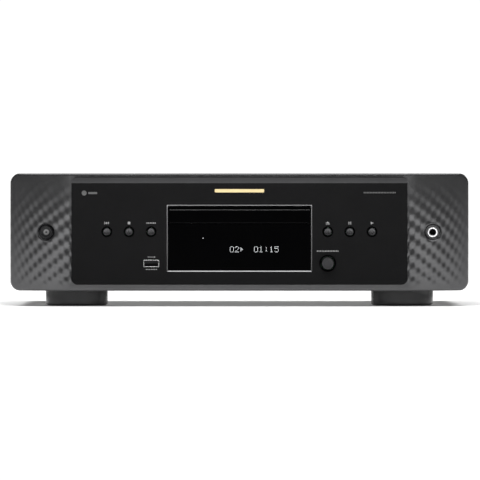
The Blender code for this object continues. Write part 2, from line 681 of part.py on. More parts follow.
def make_deck():
    """The tilting deck that carries the disc motor and the laser pickup."""
    deck_z = (DECK_BOTTOM, DECK_TOP)
    plate = block("deck_plate", (-32, 46), (-148, -30), deck_z)
    weld(plate, block("rear_arm", (-64, 64), (-42, -18), deck_z))
    for side in (-1, 1):
        x = sorted((side * 59, side * 64))
        weld(plate, block("lug", x, (-26, -18), (63, DECK_TOP - 0.5)))
        pin_x = sorted((side * 60, side * 70))
        weld(plate, rod("pivot_pin", 2, pin_x, (DECK_PIVOT_Y, DECK_PIVOT_Z), "X", 16))
        rod_ends = ((-116.5, -112.3), (-31.7, -27.5))
        for y in rod_ends:
            holder_x = (side * ROD_X - 3, side * ROD_X + 3)
            weld(plate, block("rod_holder", holder_x, y, (DECK_TOP - 1, ROD_Z + 2.5)))
    weld(plate, rod("gear_pin", 1.5, (DECK_TOP - 1, 76.6), SLED_GEAR_XY, "Z", 16))
    cut(plate, rod("spindle_way", 3, (60, 80), (0, DISC_Y), "Z", 20))
    dress(plate, "steel")

    motor = rod("spindle_motor", 12, (58, DECK_BOTTOM - GAP), (0, DISC_Y), "Z")
    dress(motor, "steel")
    profile = [(0, 70.2), (1.2, 70.2), (1.2, 84.5), (14.5, 84.5), (14.5, 87.2), (7.4, 87.2)]
    profile += [(7.4, 88.6), (6.6, 89.5), (0, 89.5)]
    turntable = turned("turntable", profile, (0, DISC_Y), "Z")
    set_origin(turntable, (0, DISC_Y, 84.5))
    dress(turntable, "matte_black")

    rods = []
    for side, name in ((-1, "guide_rod_left"), (1, "guide_rod_right")):
        place = (side * ROD_X, ROD_Z)
        rods.append(dress(rod(name, ROD_RADIUS, (-112, -32), place, "Y", 16), "steel"))

    pickup = block("optical_pickup", (-22, 22), PICKUP_Y, (72.6, 80))
    rack = rack_outline(SLED_MODULE, SLED_GEAR_XY[0] - 9.6, 21, SLED_GEAR_XY[1], -16, 1)
    weld(pickup, prism("rack", rack, (73, 76.4), "Z"))
    for side in (-1, 1):
        cut(pickup, rod("rod_way", 1.9, (-120, -60), (side * ROD_X, ROD_Z), "Y", 16))
    dress(pickup, "grey_plastic")
    lens = rod("pickup_lens", 3.6, (80.3, 84), (0, LENS_Y), "Z", 24)
    dress(lens, "lens_glass")

    gear = prism("sled_gear", gear_outline(24, SLED_MODULE, SLED_GEAR_XY, 180), (73, 76), "Z")
    cut(gear, rod("bore", 1.9, (60, 90), SLED_GEAR_XY, "Z", 16))
    set_origin(gear, (*SLED_GEAR_XY, 74.5))
    dress(gear, "white_plastic")
    sled_motor = rod("sled_motor", 8, (54, DECK_BOTTOM - GAP), SLED_GEAR_XY, "Z", 24)
    dress(sled_motor, "steel")

    pivot = (0, DECK_PIVOT_Y, DECK_PIVOT_Z)
    tilt = carry("deck_tilt", pivot, [plate, motor, turntable, *rods, gear, sled_motor])
    carry("pickup_slide", (0, LENS_Y, ROD_Z), [pickup, lens], tilt)


def make_electronics():
    """Transformer, boards and the flat cable from the drive."""
    middle = (-155, 100)
    x, y = middle
    core = block("transformer_core", (x - 35, x + 35), (y - 15, y + 15), (16.6, 76))
    windows = [
        block("gap", (x + low, x + high), (y - 20, y + 20), (30, 64))
        for low, high in ((-23, -11), (11, 23))
    ]
    dress(cut(core, *windows), "steel")
    coil = block("transformer_coil", (x - 22.7, x + 22.7), (y - 28, y + 28), (30.4, 63.6))
    cut(coil, block("leg_way", (x - 11.3, x + 11.3), (y - 15.4, y + 15.4), (20, 80)))
    dress(coil, "copper_winding")

    dress(block("power_board", (-205, -95), (-40, 60), (24, 25.6)), "circuit_board")
    for name, x in (("reservoir_capacitor_left", -180), ("reservoir_capacitor_right", -145)):
        dress(rod(name, 11, (25.9, 61), (x, 20), "Z", 24), "gloss_black")
    dress(block("audio_board", (25, 205), (60, 176), (24, 25.6)), "circuit_board")

    bend = arc((-0.4, 33), 6, 180, 270, 6)
    inner_bend = arc((-0.4, 33), 5.6, 270, 180, 6)
    ribbon = [(-6.4, 74), *bend, (68, 27), (68, 27.4), *inner_bend, (-6, 74)]
    dress(prism("drive_cable", ribbon, (30, 50), "X"), "white_plastic")


def main():
    for existing in list(bpy.data.objects):
        bpy.data.objects.remove(existing)
    make_fascia()
    make_centre_plate()
    make_window_pieces()
    make_controls()
    make_case()
    make_rear()
    make_tray()
    make_loader()
    make_deck()
    make_electronics()


main()
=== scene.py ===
"""The looks of the CD player: fine meshes, materials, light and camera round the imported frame.

The player's front faces -Y, +X is to the viewer's right and +Z is up. Lengths in this script are in
millimetres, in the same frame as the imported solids, and mesh_object turns them into metres.
"""

import json
import math

import bmesh
import bpy
import numpy as np
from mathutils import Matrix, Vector


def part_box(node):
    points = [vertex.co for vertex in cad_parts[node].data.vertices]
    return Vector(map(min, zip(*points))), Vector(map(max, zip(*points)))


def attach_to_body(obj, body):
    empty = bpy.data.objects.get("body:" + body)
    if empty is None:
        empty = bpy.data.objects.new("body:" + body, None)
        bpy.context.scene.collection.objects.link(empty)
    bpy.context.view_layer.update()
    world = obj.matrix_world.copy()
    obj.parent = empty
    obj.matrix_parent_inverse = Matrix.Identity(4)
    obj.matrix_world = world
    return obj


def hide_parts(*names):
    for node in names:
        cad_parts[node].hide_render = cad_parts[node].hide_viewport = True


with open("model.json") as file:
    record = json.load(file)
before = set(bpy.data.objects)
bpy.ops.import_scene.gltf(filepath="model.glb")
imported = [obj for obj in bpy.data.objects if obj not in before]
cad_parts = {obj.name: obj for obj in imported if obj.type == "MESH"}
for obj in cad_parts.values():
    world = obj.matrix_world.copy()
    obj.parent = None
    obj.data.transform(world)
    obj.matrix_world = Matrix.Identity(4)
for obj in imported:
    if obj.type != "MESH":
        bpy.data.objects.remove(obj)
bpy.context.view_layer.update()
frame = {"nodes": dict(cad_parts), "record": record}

MM = 0.001
SLOTS = {row["node"]: row["material_slot"] for row in frame["record"]["subparts"]}
BODY_OF = {n: body for body, ns in frame["record"]["behaviour"]["bodies"].items() for n in ns}


def box_mm(node):
    """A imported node's lowest and highest corners in millimetres."""
    low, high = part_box(node)
    return low / MM, high / MM


def middle(node):
    """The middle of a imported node's box in millimetres."""
    low, high = box_mm(node)
    return (low + high) / 2


# ---------------------------------------------------------------- shapes


def along(axis, u, v, h):
    """The point at h along an axis and at u, v across it."""
    return {"X": (h, u, v), "Y": (u, h, v), "Z": (u, v, h)}[axis]


def mesh_object(name, points, faces, smooth=32):
    """An object from points in millimetres, with its faces turned outwards."""
    mesh = bpy.data.meshes.new(name)
    mesh.from_pydata([tuple(c * MM for c in p) for p in points], [], faces)
    shape = bmesh.new()
    shape.from_mesh(mesh)
    bmesh.ops.recalc_face_normals(shape, faces=shape.faces)
    shape.to_mesh(mesh)
    shape.free()
    made = bpy.data.objects.new(name, mesh)
    bpy.context.scene.collection.objects.link(made)
    return shade(made, smooth)


def shade(thing, angle):
    """Smooth shading, but for edges sharper than an angle in degrees."""
    thing.data.shade_smooth()
    thing.data.set_sharp_from_angle(angle=math.radians(angle))
    return thing


def add_band(faces, ring, other):
    """Joins two loops of the same number of points with a band of faces."""
    count = len(ring)
    faces += [(ring[i], ring[(i + 1) % count], other[(i + 1) % count], other[i]) for i in range(count)]


def add_prism(points, faces, front, back):
    """Adds a closed prism between two outlines of the same number of points."""
    start, count = len(points), len(front)
    points += [*front, *back]
    ends = range(start, start + count), range(start + count, start + 2 * count)
    faces += [tuple(ends[0]), tuple(ends[1])]
    add_band(faces, *ends)


def prism(name, outline, span, axis):
    """An outline across an axis, pulled out from span[0] to span[1] along it."""
    points, faces = [], []
    ends = [[along(axis, u, v, h) for u, v in outline] for h in span]
    add_prism(points, faces, *ends)
    return mesh_object(name, points, faces)


def block(name, x, y, z):
    """A box between two values in each of x, y and z."""
    return prism(name, [(x[0], y[0]), (x[1], y[0]), (x[1], y[1]), (x[0], y[1])], z, "Z")


def turned(name, profile, centre, axis, segments=64, smooth=32):
    """A closed profile of (radius, height) points, turned round an axis at centre."""
    points, rings, faces = [], [], []
    for radius, height in profile:
        steps = segments if radius > 0 else 1
        rings.append([len(points) + i for i in range(steps)])
        for i in range(steps):
            a = 2 * math.pi * i / segments
            u, v = centre[0] + radius * math.cos(a), centre[1] + radius * math.sin(a)
            points.append(along(axis, u, v, height))
    for ring, other in zip(rings, rings[1:] + rings[:1]):
        if len(ring) == len(other) == 1:
            continue
        for i in range(segments):
            j = (i + 1) % segments
            corners = [ring[i % len(ring)], ring[j % len(ring)]]
            corners += [other[j % len(other)], other[i % len(other)]]
            faces.append(tuple(dict.fromkeys(corners)))
    return mesh_object(name, points, faces, smooth)


def rod(name, radius, span, centre, axis, segments=64):
    """A solid cylinder from span[0] to span[1] along an axis."""
    profile = [(0, span[0]), (radius, span[0]), (radius, span[1]), (0, span[1])]
    return turned(name, profile, centre, axis, segments)


def arc(centre, radius, start, end, steps):
    """Points on an arc, from start to end in degrees. Radius may differ in u and v."""
    across, up = radius if isinstance(radius, tuple) else (radius, radius)
    angles = [math.radians(start + (end - start) * i / steps) for i in range(steps + 1)]
    return [(centre[0] + across * math.cos(a), centre[1] + up * math.sin(a)) for a in angles]


def rounded_rectangle(u, v, radius, steps=10):
    """The outline of a rectangle between two values in u and two in v, with round corners."""
    left, right, low, high = u[0] + radius, u[1] - radius, v[0] + radius, v[1] - radius
    outline = arc((right, high), radius, 0, 90, steps) + arc((left, high), radius, 90, 180, steps)
    outline += arc((left, low), radius, 180, 270, steps) + arc((right, low), radius, 270, 360, steps)
    return outline


def combine(target, tools, operation):
    """Works the tools into the target with Booleans, and removes them."""
    for tool in tools:
        modifier = target.modifiers.new(tool.name, "BOOLEAN")
        modifier.operation = operation
        modifier.solver = "EXACT"
        modifier.object = tool
    evaluated = target.evaluated_get(bpy.context.evaluated_depsgraph_get())
    mesh = bpy.data.meshes.new_from_object(evaluated)
    target.modifiers.clear()
    target.data = mesh
    for tool in tools:
        bpy.data.objects.remove(tool)
    return target


def cut(target, *tools):
    """Takes the tools out of the target."""
    return combine(target, tools, "DIFFERENCE")


def weld(target, *tools):
    """Joins the tools to the target."""
    return combine(target, tools, "UNION")


def trim(target, tool):
    """Keeps only what lies inside the tool."""
    return combine(target, [tool], "INTERSECT")


def soften(thing, width, segments=3, angle=35):
    """Rounds the sharp edges with a bevel of that width in millimetres."""
    bevel = thing.modifiers.new("Soft edges", "BEVEL")
    bevel.width = width * MM
    bevel.segments = segments
    bevel.limit_method = "ANGLE"
    bevel.angle_limit = math.radians(angle)
    bevel.harden_normals = True
    return thing


# ---------------------------------------------------------------- materials


class Nodes:
    """A small helper that adds nodes to a material and links them."""

    def __init__(self, name):
        self.material = bpy.data.materials.new(name)
        self.material.use_nodes = True
        self.tree = self.material.node_tree
        self.shader = self.tree.nodes["Principled BSDF"]
        self.place = self.add("ShaderNodeTexCoord").outputs["Object"]

    def add(self, kind, **settings):
        node = self.tree.nodes.new(kind)
        for key, value in settings.items():
            setattr(node, key, value)
        return node

    def link(self, source, target):
        self.tree.links.new(source, target)

    def noise(self, scale, detail=3.0, stretch=None):
        """Noise whose scale is given in cells per metre."""
        place = self.place
        if stretch:
            mapping = self.add("ShaderNodeMapping")
            mapping.inputs["Scale"].default_value = stretch
            self.link(place, mapping.inputs["Vector"])
            place = mapping.outputs["Vector"]
        node = self.add("ShaderNodeTexNoise")
        node.inputs["Scale"].default_value = scale
        node.inputs["Detail"].default_value = detail
        self.link(place, node.inputs["Vector"])
        return node.outputs["Fac"]

    def spread(self, source, low, high):
        """Maps a noise's middle range on to low to high."""
        node = self.add("ShaderNodeMapRange")
        node.inputs["From Min"].default_value = 0.3
        node.inputs["From Max"].default_value = 0.7
        node.inputs["To Min"].default_value = low
        node.inputs["To Max"].default_value = high
        self.link(source, node.inputs["Value"])
        return node.outputs["Result"]

    def blend(self, factor, first, second, target):
        """Colours the target between two colours by a factor."""
        node = self.add("ShaderNodeMix", data_type="RGBA")
        self.link(factor, node.inputs["Factor"])
        node.inputs["A"].default_value = (*first, 1)
        node.inputs["B"].default_value = (*second, 1)
        self.link(node.outputs["Result"], target)

    def bump(self, height, depth, strength=1.0):
        """Bump of a real depth in millimetres."""
        node = self.add("ShaderNodeBump")
        node.inputs["Strength"].default_value = strength
        node.inputs["Distance"].default_value = depth * MM
        self.link(height, node.inputs["Height"])
        self.link(node.outputs["Normal"], self.shader.inputs["Normal"])


def surface(name, colour, roughness, metallic=0.0, vary=0.12, grain=None, stretch=None, **sockets):
    """A material with a mottled colour, uneven roughness and a fine grain.

    grain is (cells per metre, depth in millimetres). sockets are further values of the shader,
    with underscores for spaces."""
    nodes = Nodes(name)
    shader = nodes.shader
    shader.inputs["Metallic"].default_value = metallic
    for key, value in sockets.items():
        shader.inputs[key.replace("_", " ")].default_value = value
    cloud = nodes.spread(nodes.noise(45), 0, 1)
    darker = [c * (1 - vary) for c in colour]
    lighter = [min(1, c * (1 + vary)) for c in colour]
    nodes.blend(cloud, darker, lighter, shader.inputs["Base Color"])
    cells, depth = grain or (900, 0.004)
    fine = nodes.noise(cells, 2.0, stretch)
    rough = nodes.spread(fine, roughness * 0.9, min(1, roughness * 1.12))
    nodes.link(rough, shader.inputs["Roughness"])
    nodes.bump(fine, depth)
    return nodes.material


def glowing(name, colour, strength):
    """A lit sign, slightly uneven like a real display's dots."""
    nodes = Nodes(name)
    nodes.blend(nodes.noise(700), [c * 0.8 for c in colour], colour, nodes.shader.inputs["Emission Color"])
    nodes.shader.inputs["Emission Strength"].default_value = strength
    nodes.shader.inputs["Base Color"].default_value = (*colour, 1)
    nodes.shader.inputs["Roughness"].default_value = 0.5
    return nodes.material


FASCIA = surface("fascia_satin", (0.092, 0.092, 0.094), 0.33, 0.85, 0.05, (2600, 0.002))
PANEL = surface("panel_matte_black", (0.0045, 0.0045, 0.0047), 0.6, 0.0, 0.06, (3200, 0.004),
                Specular_IOR_Level=0.06)
# a lighter, slightly glossier copy of the panel paint for the plate's upper slope: a painted highlight where
# overhead light falls
PANEL_SLOPE_HIGHLIGHT = surface("panel_slope_painted_highlight", (0.028, 0.028, 0.029), 0.5, 0.0, 0.06, (3200, 0.004),
                      Specular_IOR_Level=0.1)
# near-black gloss of the window and the tray flap, also used as painted shade in the rings round the buttons
# and the knob and on the tray surround
GLOSS_BLACK_AND_SHADE = surface("gloss_black_and_painted_shade", (0.0006, 0.0006, 0.0007), 0.1, 0.0, 0.1, (300, 0.0005),
                Specular_IOR_Level=0.01)
BUTTON = surface("button_dark_silver", (0.052, 0.052, 0.054), 0.36, 0.85, 0.06, (2400, 0.004))
# grey metal of the power button's mark and edge, also used for the painted highlight along the tray flap's
# top
MARK_METAL_AND_HIGHLIGHT = surface("mark_metal_and_painted_highlight", (0.13, 0.13, 0.13), 0.35, 0.6, 0.05, (1200, 0.001))
WINDOW_TRIM = surface("window_trim_metal", (0.3, 0.3, 0.305), 0.32, 1.0, 0.04, (1200, 0.001))
CHROME = surface("socket_chrome", (0.85, 0.85, 0.86), 0.22, 0.7, 0.03, (700, 0.001))
STEEL_FRAME = surface("socket_frame_steel", (0.7, 0.7, 0.7), 0.25, 0.9, 0.03, (700, 0.001))
CASE = surface("case_powder_coat", (0.014, 0.014, 0.015), 0.52, 0.0, 0.1, (1500, 0.02))
STEEL = surface("plated_steel", (0.55, 0.55, 0.54), 0.34, 1.0, 0.08, (400, 0.003), (1, 8, 1))
FOOT = surface("foot_gloss_black", (0.045, 0.045, 0.046), 0.24, 0.0, 0.1, (600, 0.001))
INNER_BLACK = surface("inner_black_plastic", (0.012, 0.012, 0.013), 0.5, 0.0, 0.1, (1800, 0.012))
INNER_GREY = surface("inner_grey_plastic", (0.1, 0.1, 0.105), 0.5, 0.0, 0.08, (1800, 0.01))
LIGHT = surface("white_acetal", (0.72, 0.71, 0.67), 0.42, 0.0, 0.04, (1200, 0.004),
                Subsurface_Weight=0.1)
BOARD = surface("board_green", (0.02, 0.11, 0.045), 0.4, 0.0, 0.25, (900, 0.01))
WINDING = surface("winding_copper", (0.48, 0.19, 0.07), 0.35, 0.9, 0.15, (900, 0.06), (1, 1, 6))
BELT = surface("belt_rubber", (0.016, 0.016, 0.016), 0.75, 0.0, 0.15, (1500, 0.01))
GOLD = surface("gold_plating", (0.83, 0.62, 0.26), 0.2, 1.0, 0.05, (900, 0.001))
LENS = surface("lens_glass", (0.22, 0.28, 0.5), 0.06, 0.0, 0.2, (300, 0.0005), Coat_Weight=0.6)
RUBBER = surface("pad_rubber", (0.018, 0.018, 0.018), 0.8, 0.0, 0.12, (1400, 0.02))
PRINT = surface("light_print", (0.17, 0.17, 0.17), 0.55, 0.0, 0.08)
DIM_PRINT = surface("dim_print", (0.06, 0.06, 0.06), 0.55, 0.0, 0.08)
GOLD_PRINT = surface("gold_print", (0.62, 0.5, 0.27), 0.4, 0.4, 0.06)
SOFT_BLACK = surface("soft_black_plastic", (0.006, 0.006, 0.0065), 0.35, 0.0, 0.1, (1800, 0.006),
                     Specular_IOR_Level=0.16)
KNOB = surface("knob_black", (0.016, 0.016, 0.017), 0.5, 0.0, 0.3, (1600, 0.03), Specular_IOR_Level=0.25)
# black finish of the rings in the recesses, also used as painted shade on the fascia's outer rim
BLACK_RING_AND_RIM_SHADE = surface("black_ring_and_painted_rim_shade", (0.008, 0.008, 0.009), 0.22, 0.0, 0.08)
LIT = glowing("display_glow", (0.9, 0.93, 0.97), 0.38)
WHITE_RING = surface("socket_white", (0.75, 0.75, 0.73), 0.4, 0.0, 0.05)
RED_RING = surface("socket_red", (0.55, 0.02, 0.02), 0.4, 0.0, 0.08)
ORANGE_RING = surface("socket_orange", (0.75, 0.22, 0.02), 0.4, 0.0, 0.08)

SLOT_MATERIAL = {
    "fascia_moulding": FASCIA,
    "front_panel_paint": PANEL,
    "window_black": GLOSS_BLACK_AND_SHADE,
    "button_metal": BUTTON,
    "socket_metal": CHROME,
    "case_paint": CASE,
    "plain_steel": STEEL,
    "foot_plastic": FOOT,
    "inner_black_plastic": INNER_BLACK,
    "inner_grey_plastic": INNER_GREY,
    "light_plastic": LIGHT,
    "board_green": BOARD,
    "winding_copper": WINDING,
    "belt_rubber": BELT,
    "gold_plating": GOLD,
    "lens_glass": LENS,
}


def paint(thing, material):
    """Gives an object one material in place of any it had."""
    thing.data.materials.clear()
    thing.data.materials.append(material)
    return thing


def stand_for(thing, node, material):
    """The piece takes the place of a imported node, on that node's body."""
    paint(thing, material)
    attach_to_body(thing, BODY_OF[node])
    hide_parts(node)
    return thing


def attach(thing, node, material):
    """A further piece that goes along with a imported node."""
    paint(thing, material)
    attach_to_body(thing, BODY_OF[node])
    return thing


# ---------------------------------------------------------------- fascia with patterned wings

FASCIA_LOW, FASCIA_HIGH = box_mm("fascia")
PLATE_LOW, PLATE_HIGH = box_mm("centre_plate")
FASCIA_FRONT = FASCIA_LOW.y
WING_START = PLATE_HIGH.x
WING_RADIUS = 84  # of the wing's curve, seen from above
HALF_WIDTH = FASCIA_HIGH.x
MID_Z = (FASCIA_LOW.z + FASCIA_HIGH.z) / 2
HALF_HEIGHT = (FASCIA_HIGH.z - FASCIA_LOW.z) / 2
OUTLINE_RADIUS = 9
RIM = 2.2  # how far the rounded rim reaches in from the outline
RIM_SHADE_WIDTH = 0.55  # how much of the rim is painted dark, a painted shade outline where the front turns away
BARREL = 3.2  # how far the wings fall back at their top and bottom
DIMPLE_DEPTH = 0.42
STEP_OUT = (5.8, -4.3)  # one step of the pattern, outwards and down
STEP_IN = (-5.6, -9.0)  # the other step, inwards and down
RECESSES = {-1: middle("power_button"), 1: middle("phones_socket_ring")}
PLAIN_RING = (8, 10.5)  # the pattern starts between these distances from a recess's middle
SLOPE_RINGS = ((1.2, -0.35), (-0.1, 0.95))  # how far out and how deep a recess's slope starts and ends
GRID = 0.55  # cell size of the fine mesh
HOLE_HALF_WIDTH = 156  # the opening behind the centre plate
HOLE_Z = (26, 120)


def front_half_width(z):
    """Half the width of the front inside its rim, at that height."""
    corner = HALF_HEIGHT - OUTLINE_RADIUS
    above = abs(z - MID_Z) - corner
    inner = OUTLINE_RADIUS - RIM
    reach = math.sqrt(max(0, inner * inner - above * above)) if above > 0 else inner
    return HALF_WIDTH - OUTLINE_RADIUS + reach


def fade(value, start, end):
    """0 at start, 1 at end, smooth in between."""
    t = min(1, max(0, (value - start) / (end - start)))
    return t * t * (3 - 2 * t)


def dimple(s, z):
    """Height of the pattern at s along the wing's curve from its inner edge.

    Two waves cross, one for each step. They get a little shorter towards the outside, and they
    fade out towards the top, the bottom edge and the outside."""
    (out_s, out_z), (in_s, in_z) = STEP_OUT, STEP_IN
    area = out_s * in_z - out_z * in_s
    even = s * (1 + s / 420)
    first = 2 * math.pi * (in_z * even - in_s * z) / area
    second = 2 * math.pi * (-out_z * even + out_s * z) / area
    above = z - FASCIA_LOW.z
    share = 0.36 + 0.12 * fade(above, 100, 40)
    wave = share * math.cos(first) + (1 - share) * math.cos(second)
    return DIMPLE_DEPTH * wave * fade(above, 2, 14) * fade(above, 112, 54) * fade(s, 72, 30)


def wing_curve(x):
    """The wing's angle and depth at x, without its pattern."""
    angle = math.asin(max(0, abs(x) - WING_START) / WING_RADIUS)
    return angle, FASCIA_FRONT + WING_RADIUS * (1 - math.cos(angle))


def front_point(x, z):
    """A point on the fascia's front, with the wing's curve, the barrel and the pattern."""
    side = 1 if x > 0 else -1
    outside = max(0, abs(x) - WING_START)
    angle, y = wing_curve(x)
    y += BARREL * ((z - MID_Z) / HALF_HEIGHT) ** 2 * fade(outside, 0, 15)
    if outside <= 0:
        return (x, y, z)
    recess = RECESSES[side]
    clear = fade(math.hypot(x - recess.x, z - recess.z), *PLAIN_RING)
    height = clear * dimple(WING_RADIUS * angle, z)
    return (x + side * math.sin(angle) * height, y - math.cos(angle) * height, z)


def front_rows():
    """Heights of the front's grid rows, closer together round the corners."""
    corner = HALF_HEIGHT - OUTLINE_RADIUS
    inner = OUTLINE_RADIUS - RIM
    bend = [corner + inner * math.sin(math.radians(a)) for a in range(6, 91, 6)]
    straight = np.linspace(-corner, corner, int(2 * corner / GRID) + 1)
    return [MID_Z + z for z in [*(-b for b in reversed(bend)), *straight, *bend]]


def front_grid(rows):
    """The front's points and their numbers, row by row, and the column of the large opening."""
    full_angle = math.asin((HALF_WIDTH - RIM - WING_START) / WING_RADIUS)
    steps = int(WING_RADIUS * full_angle / GRID)
    points, grid = [], []
    for z in rows:
        edge = math.asin((front_half_width(z) - WING_START) / WING_RADIUS)
        wing = [WING_START + WING_RADIUS * math.sin(edge * i / steps) for i in range(steps + 1)]
        xs = [-x for x in reversed(wing)] + [-HOLE_HALF_WIDTH, HOLE_HALF_WIDTH] + wing
        grid.append(list(range(len(points), len(points) + len(xs))))
        points += [front_point(x, z) for x in xs]
    return points, grid, steps + 1


def build_fascia():
    """Front grid, rounded rim, side walls and a back with one large opening."""
    rows = front_rows()
    points, grid, hole_column = front_grid(rows)
    low_row, high_row = [min(range(len(rows)), key=lambda i: abs(rows[i] - z)) for z in HOLE_Z]
    faces = []
    for r in range(len(rows) - 1):
        for c in range(len(grid[0]) - 1):
            if c == hole_column and low_row <= r < high_row:
                continue
            faces.append((grid[r][c], grid[r][c + 1], grid[r + 1][c + 1], grid[r + 1][c]))

    border = grid[0] + [grid[r][-1] for r in range(1, len(rows))]
    border += grid[-1][-2::-1] + [grid[r][0] for r in range(len(rows) - 2, 0, -1)]
    add_rim(points, faces, border)

    hole = [grid[r][hole_column] for r in range(low_row, high_row + 1)]
    hole += [grid[r][hole_column + 1] for r in range(high_row, low_row - 1, -1)]
    back_hole = list(range(len(points), len(points) + len(hole)))
    points += [(points[i][0], FASCIA_HIGH.y, points[i][2]) for i in hole]
    add_band(faces, hole, back_hole)

    fascia = mesh_object("fascia_skin", points, faces, 40)
    fill_back(fascia)
    drill_ends(fascia)
    shade(fascia, 24)
    stand_for(fascia, "fascia", FASCIA)
    paint_rim_shade(fascia)


def paint_rim_shade(fascia):
    """Paints shade on the outermost part of the rim, a dark outline where the front turns away, but not along
    the stretch above the plate.
    """
    fascia.data.materials.append(BLACK_RING_AND_RIM_SHADE)
    for face in fascia.data.polygons:
        x, z = face.center.x / MM, face.center.z / MM
        at_edge = from_outline(x, z) < RIM_SHADE_WIDTH and face.normal.y < -0.05
        if at_edge and (abs(x) > WING_START or z < MID_Z):
            face.material_index = 1


def from_outline(x, z):
    """How far a point of the front lies inside the fascia's rounded outline."""
    across = max(0, abs(x) - HALF_WIDTH + OUTLINE_RADIUS)
    up = max(0, abs(z - MID_Z) - HALF_HEIGHT + OUTLINE_RADIUS)
    return OUTLINE_RADIUS - math.hypot(across, up)


def add_rim(points, faces, border):
    """Rounds the front over into the side walls."""
    corner = Vector((HALF_WIDTH - OUTLINE_RADIUS, HALF_HEIGHT - OUTLINE_RADIUS))
    starts = []
    for i in border:
        x, y, z = points[i]
        u, v = x, z - MID_Z
        nearest = Vector((max(-corner.x, min(corner.x, u)), max(-corner.y, min(corner.y, v))))
        out = (Vector((u, v)) - nearest).normalized()
        slope = math.tan(wing_curve(x)[0]) * abs(out.x)
        slope += 2 * BARREL / HALF_HEIGHT * abs(out.y)
        starts.append((Vector((x, y, z)), out, math.atan(slope)))
    previous = border
    steps = 6
    for step in range(1, steps + 1):
        ring = []
        for place, out, lean in starts:
            angle = lean + (math.pi / 2 - lean) * step / steps
            radius = RIM / (1 - math.sin(lean))
            outward = radius * (math.sin(angle) - math.sin(lean))
            backward = radius * (math.cos(lean) - math.cos(angle))
            ring.append(len(points))
            points.append((place.x + out.x * outward, place.y + backward, place.z + out.y * outward))
        add_band(faces, previous, ring)
        previous = ring
    back = list(range(len(points), len(points) + len(previous)))
    points += [(points[i][0], FASCIA_HIGH.y, points[i][2]) for i in previous]
    add_band(faces, previous, back)


def fill_back(fascia):
    """Closes the back face between its outer edge and the opening."""
    shape = bmesh.new()
    shape.from_mesh(fascia.data)
    open_edges = [e for e in shape.edges if e.is_boundary]
    bmesh.ops.triangle_fill(shape, use_beauty=True, edges=open_edges)
    bmesh.ops.recalc_face_normals(shape, faces=shape.faces)
    shape.to_mesh(fascia.data)
    shape.free()


def drill_ends(fascia):
    """The recesses of the power button and the headphone socket, with the chambers behind them."""
    ring_low, ring_high = box_mm("power_button_ring")
    radius = (ring_high.z - ring_low.z) / 2 + 0.25
    floor = ring_high.y + 0.3
    chamber_radius, wall = 11.5, 3
    tools = []
    for node, hole in (("power_button", 6.4), ("phones_socket_ring", 4.4)):
        centre = (middle(node).x, middle(node).z)
        tools.append(recess_slope(centre, radius))
        tools.append(rod("recess", radius, (FASCIA_FRONT - 5, floor), centre, "Y", 96))
        tools.append(rod("way", hole, (floor - 1, floor + wall + 1), centre, "Y", 64))
        tools.append(rod("chamber", chamber_radius, (floor + wall, FASCIA_HIGH.y + 5), centre, "Y", 32))
    cut(fascia, *tools)


def recess_slope(centre, radius, segments=96):
    """A cutter that slopes a recess's edge evenly, though the wing's surface curves."""
    rings = []
    for spread, depth in SLOPE_RINGS:
        ring = []
        for i in range(segments):
            a = 2 * math.pi * i / segments
            reach = radius + spread
            x, z = centre[0] + reach * math.cos(a), centre[1] + reach * math.sin(a)
            ring.append((x, wing_curve(x)[1] + depth, z))
        rings.append(ring)
    points = rings[0] + rings[1]
    points += [(centre[0], min(y for _, y, _ in rings[0]) - 1, centre[1])]
    points += [(centre[0], min(y for _, y, _ in rings[1]), centre[1])]
    faces = []
    add_band(faces, list(range(segments)), list(range(segments, 2 * segments)))
    for start, tip in ((0, 2 * segments), (segments, 2 * segments + 1)):
        faces += [(start + i, start + (i + 1) % segments, tip) for i in range(segments)]
    return mesh_object("slope", points, faces)


# ---------------------------------------------------------------- centre plate

WINDOW = (68.8, (34.5, 96.8))  # half width, heights
WINDOW_CHAMFER = 1.3
WINDOW_RADIUS = 0.8
TRIM_SECTION = ((0.3, 0.92), (1.2, 0.02), (1.25, 0.03), (0.33, 0.95))  # depth and spread
PLATE_CORNER = 6
CREASE_Z = PLATE_HIGH.z - 6.3  # the slope's lower edge
SLOPE_TOP_Z = PLATE_HIGH.z - 0.9
BEVEL_DEPTH = 3.0
BUTTON_SHADE_RING = (4.3, 5.15)  # radii of the hole and of the black ring of painted shade round each button
KNOB_SHADE_RING = (7, 8.1)


def build_window_trim():
    """A thin bright lining on the window's chamfer."""
    half, z = WINDOW
    points, faces, rings = [], [], []
    for y, spread in TRIM_SECTION:
        spans = ((-half - spread, half + spread), (z[0] - spread, z[1] + spread))
        outline = rounded_rectangle(*spans, WINDOW_RADIUS, 6)
        rings.append(list(range(len(points), len(points) + len(outline))))
        points += [(u, PLATE_LOW.y + y, v) for u, v in outline]
    for ring, other in zip(rings, rings[1:] + rings[:1]):
        add_band(faces, ring, other)
    attach(mesh_object("window_trim", points, faces), "centre_plate", WINDOW_TRIM)


def button_nodes():
    """The six round buttons beside the window."""
    return [n for n in SLOTS if n.endswith("_button") and n != "power_button"]


def plate_profile():
    """The plate's (y, z) section, with a rolled lower edge and a slightly hollow upper slope."""
    front, back, low, high = PLATE_LOW.y, PLATE_HIGH.y, PLATE_LOW.z, PLATE_HIGH.z
    lower_roll = arc((front + 4.5, low + 5), (4.5, 5), 270, 180, 16)
    slope, sag, steps = [], 0.35, 12
    for i in range(steps + 1):
        t = i / steps
        y = front + BEVEL_DEPTH * t + sag * 4 * t * (1 - t)
        slope.append((y, CREASE_Z + (SLOPE_TOP_Z - CREASE_Z) * t))
    upper = arc((front + BEVEL_DEPTH + 1.2, SLOPE_TOP_Z), (1.2, high - SLOPE_TOP_Z), 150, 90, 5)
    return [(back, low), *lower_roll, *slope, *upper, (back, high)]


